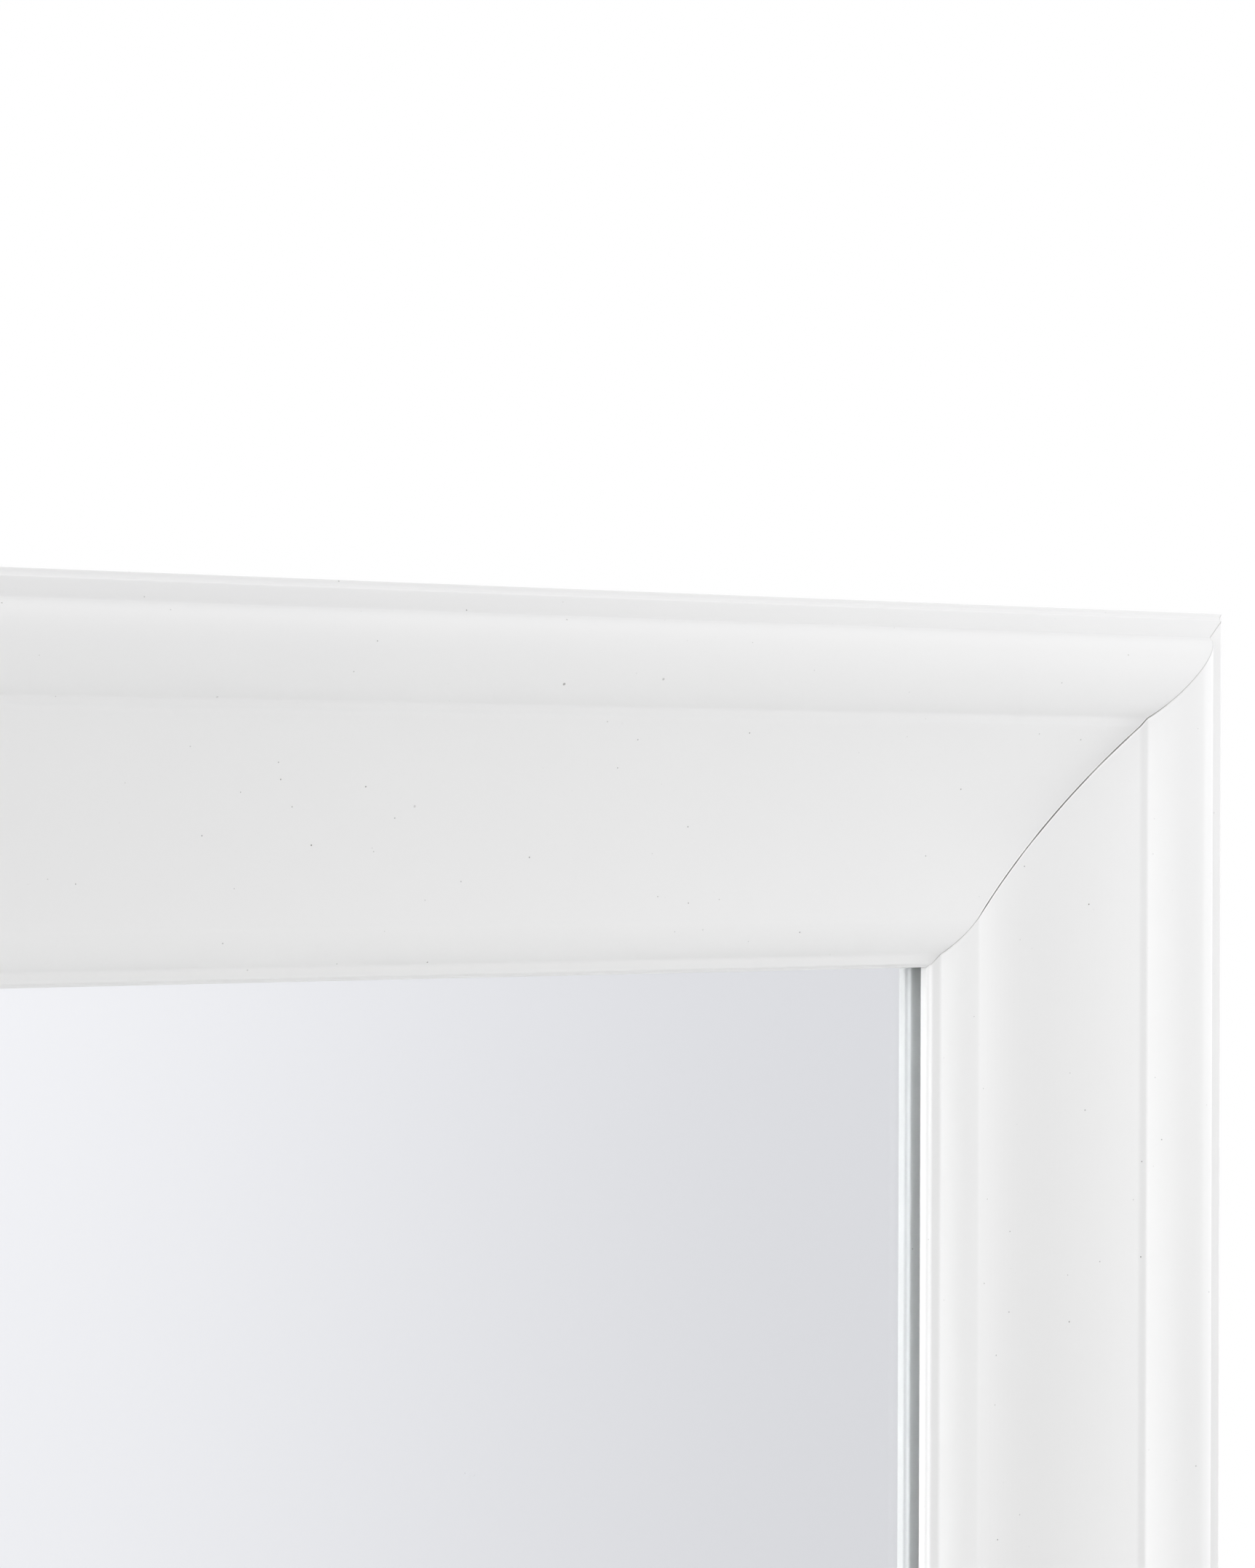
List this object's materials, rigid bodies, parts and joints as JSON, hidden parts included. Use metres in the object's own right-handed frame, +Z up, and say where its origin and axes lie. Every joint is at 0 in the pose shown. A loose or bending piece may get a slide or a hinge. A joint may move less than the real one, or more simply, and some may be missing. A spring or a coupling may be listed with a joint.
{
  "type": "wall mirror",
  "caption": "Portrait wall mirror in a wide white moulded frame with mitred corners, flat glass behind the inner lip, and D-rings and rubber bumpers on the back.",
  "frame": {"origin": "on the wall's plane, behind the middle of the mirror: the four bumper faces lie in Y = 0", "axes": "+Z up, -Y out of the mirror's face towards the viewer, +X to the viewer's right"},
  "size_m": [0.65, 0.0331, 0.85],
  "materials": {
    "moulding_finish": "satin",
    "mirror_glass": "polished",
    "silver_coating": "polished",
    "foam_sheet": "matte",
    "backing_board": "matte",
    "wedge_steel": "satin",
    "screw_steel": "satin",
    "hanger_steel": "satin",
    "button_steel": "satin",
    "bumper_rubber": "matte"
  },
  "bodies": {
    "frame": {"top_rail": "moulding_finish", "bottom_rail": "moulding_finish", "left_stile": "moulding_finish", "right_stile": "moulding_finish", "mirror_glass": "mirror_glass", "silver_coating": "silver_coating", "foam_sheet": "foam_sheet", "backing_board": "backing_board", "corner_v_nails": "wedge_steel", "turn_button_screws": "screw_steel", "hanger_screws": "screw_steel", "hanger_strap_left": "hanger_steel", "hanger_strap_right": "hanger_steel", "wall_bumper_top_left": "bumper_rubber", "wall_bumper_top_right": "bumper_rubber", "wall_bumper_bottom_left": "bumper_rubber", "wall_bumper_bottom_right": "bumper_rubber"},
    "ring_left": {"hanger_ring_left": "hanger_steel"},
    "ring_right": {"hanger_ring_right": "hanger_steel"},
    "turn_button_top_left": {"turn_button_top_left": "button_steel"},
    "turn_button_top_right": {"turn_button_top_right": "button_steel"},
    "turn_button_bottom_left": {"turn_button_bottom_left": "button_steel"},
    "turn_button_bottom_right": {"turn_button_bottom_right": "button_steel"},
    "turn_button_left_lower": {"turn_button_left_lower": "button_steel"},
    "turn_button_left_upper": {"turn_button_left_upper": "button_steel"},
    "turn_button_right_lower": {"turn_button_right_lower": "button_steel"},
    "turn_button_right_upper": {"turn_button_right_upper": "button_steel"}
  },
  "joints": [
    {"name": "ring_left_swing", "type": "hinge", "parent": "frame", "child": "ring_left", "pos_m": [-0.293, -0.0032, 0.255], "axis": [1, 0, 0], "range_deg": [0, 180]},
    {"name": "ring_right_swing", "type": "hinge", "parent": "frame", "child": "ring_right", "pos_m": [0.293, -0.0032, 0.255], "axis": [1, 0, 0], "range_deg": [0, 180]},
    {"name": "turn_button_top_left_turn", "type": "hinge", "parent": "frame", "child": "turn_button_top_left", "pos_m": [-0.125, -0.006, 0.3605], "axis": [0, 1, 0], "continuous": true},
    {"name": "turn_button_top_right_turn", "type": "hinge", "parent": "frame", "child": "turn_button_top_right", "pos_m": [0.125, -0.006, 0.3605], "axis": [0, 1, 0], "continuous": true},
    {"name": "turn_button_bottom_left_turn", "type": "hinge", "parent": "frame", "child": "turn_button_bottom_left", "pos_m": [-0.125, -0.006, -0.3605], "axis": [0, 1, 0], "continuous": true},
    {"name": "turn_button_bottom_right_turn", "type": "hinge", "parent": "frame", "child": "turn_button_bottom_right", "pos_m": [0.125, -0.006, -0.3605], "axis": [0, 1, 0], "continuous": true},
    {"name": "turn_button_left_lower_turn", "type": "hinge", "parent": "frame", "child": "turn_button_left_lower", "pos_m": [-0.2605, -0.006, -0.2], "axis": [0, 1, 0], "continuous": true},
    {"name": "turn_button_left_upper_turn", "type": "hinge", "parent": "frame", "child": "turn_button_left_upper", "pos_m": [-0.2605, -0.006, 0.2], "axis": [0, 1, 0], "continuous": true},
    {"name": "turn_button_right_lower_turn", "type": "hinge", "parent": "frame", "child": "turn_button_right_lower", "pos_m": [0.2605, -0.006, -0.2], "axis": [0, 1, 0], "continuous": true},
    {"name": "turn_button_right_upper_turn", "type": "hinge", "parent": "frame", "child": "turn_button_right_upper", "pos_m": [0.2605, -0.006, 0.2], "axis": [0, 1, 0], "continuous": true}
  ]
}
